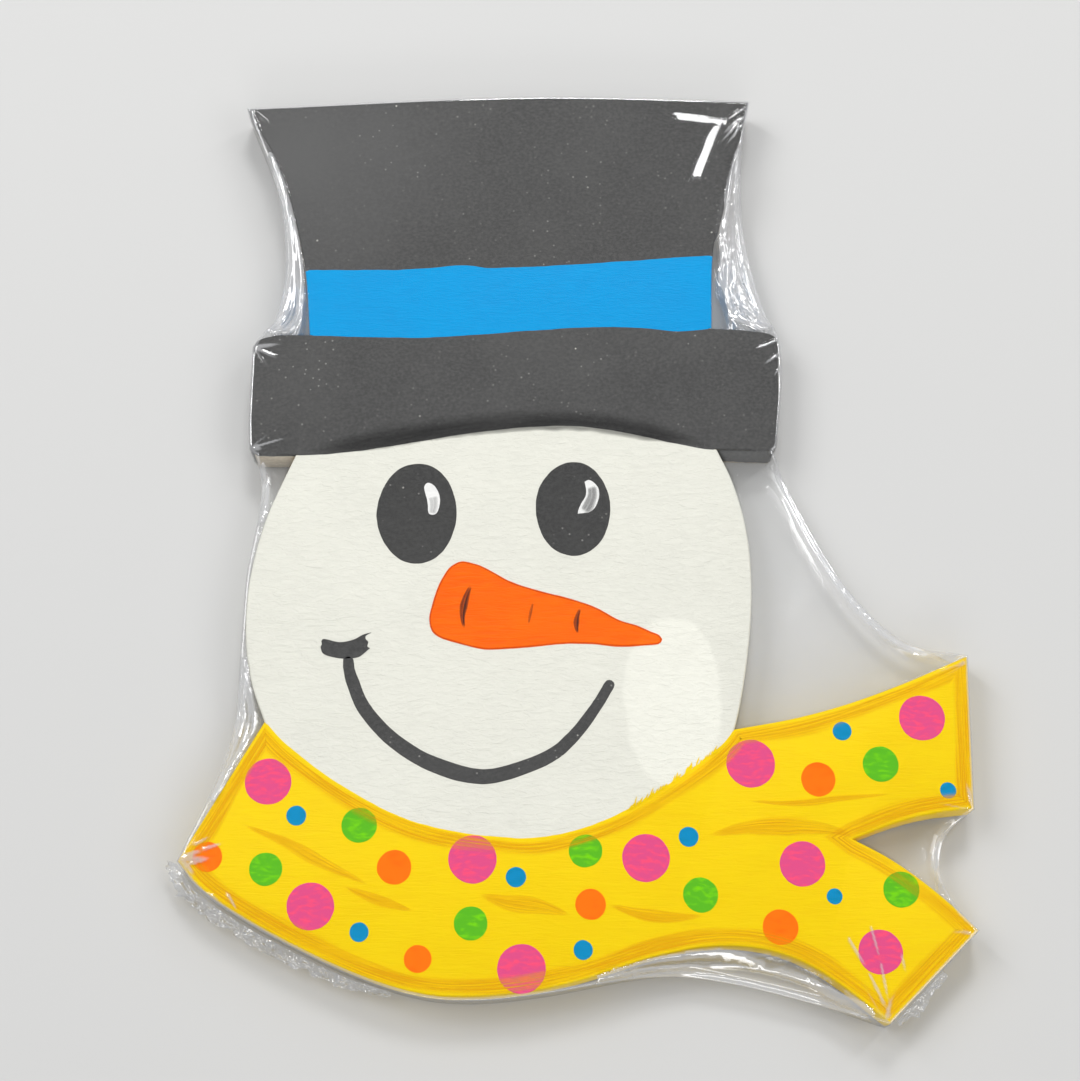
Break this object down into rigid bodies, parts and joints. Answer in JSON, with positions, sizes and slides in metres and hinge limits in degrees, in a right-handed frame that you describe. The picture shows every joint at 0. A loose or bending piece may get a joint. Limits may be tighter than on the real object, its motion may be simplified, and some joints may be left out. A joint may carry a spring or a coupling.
{
  "type": "wooden snowman cutout",
  "caption": "Flat painted wooden snowman head cutout with a top hat, carrot nose, smile and spotted two-tailed scarf, sealed in clear shrink film.",
  "frame": {"origin": "on the flat back, the face it lies on, under the middle of the board's outline", "axes": "+Z out of the painted face, +Y towards the top of the hat, +X to the viewer's right; it lies on its back as in the picture"},
  "size_m": [0.2451, 0.3059, 0.014],
  "materials": {
    "bare_wood": "sawn fibreboard, bare where the paint stops short on the side wall",
    "hat_paint": "matt black acrylic craft paint, brushed by hand",
    "band_paint": "satin bright blue acrylic craft paint, brushed by hand",
    "face_paint": "matt warm white acrylic craft paint with fine level brush marks",
    "scarf_paint": "satin yellow acrylic craft paint, shaded with a darker yellow glaze",
    "line_paint": "matt black acrylic craft paint in single brush strokes",
    "nose_paint": "satin orange acrylic craft paint",
    "pink_dot_paint": "satin pink acrylic craft paint, dabbed in round dots",
    "green_dot_paint": "satin green acrylic craft paint, dabbed in round dots",
    "orange_dot_paint": "satin orange acrylic craft paint, dabbed in round dots",
    "blue_dot_paint": "satin blue acrylic craft paint, dabbed in round dots",
    "shrink_film": "clear glossy shrink film, wrinkled at the corners and crinkled along its seam"
  },
  "bodies": {
    "root": {"board": "bare_wood", "brim_shadow": "hat_paint", "dot_blue_1": "blue_dot_paint", "dot_blue_2": "blue_dot_paint", "dot_blue_3": "blue_dot_paint", "dot_blue_4": "blue_dot_paint", "dot_blue_5": "blue_dot_paint", "dot_blue_6": "blue_dot_paint", "dot_blue_7": "blue_dot_paint", "dot_blue_8": "blue_dot_paint", "dot_green_1": "green_dot_paint", "dot_green_2": "green_dot_paint", "dot_green_3": "green_dot_paint", "dot_green_4": "green_dot_paint", "dot_green_5": "green_dot_paint", "dot_green_6": "green_dot_paint", "dot_green_7": "green_dot_paint", "dot_orange_1": "orange_dot_paint", "dot_orange_2": "orange_dot_paint", "dot_orange_3": "orange_dot_paint", "dot_orange_4": "orange_dot_paint", "dot_orange_5": "orange_dot_paint", "dot_orange_6": "orange_dot_paint", "dot_pink_1": "pink_dot_paint", "dot_pink_2": "pink_dot_paint", "dot_pink_3": "pink_dot_paint", "dot_pink_4": "pink_dot_paint", "dot_pink_5": "pink_dot_paint", "dot_pink_6": "pink_dot_paint", "dot_pink_7": "pink_dot_paint", "dot_pink_8": "pink_dot_paint", "dot_pink_9": "pink_dot_paint", "eye_highlight_left": "face_paint", "eye_highlight_right": "face_paint", "eye_left": "line_paint", "eye_right": "line_paint", "face_paint": "face_paint", "film_back": "shrink_film", "film_front": "shrink_film", "film_seam_left": "shrink_film", "film_seam_right": "shrink_film", "hat_band_paint": "band_paint", "hat_brim_paint": "hat_paint", "hat_crown_paint": "hat_paint", "mouth_corner": "line_paint", "mouth_smile": "line_paint", "nose": "nose_paint", "nose_stroke_left": "line_paint", "nose_stroke_middle": "line_paint", "nose_stroke_right": "line_paint", "scarf_paint": "scarf_paint"}
  },
  "joints": []
}
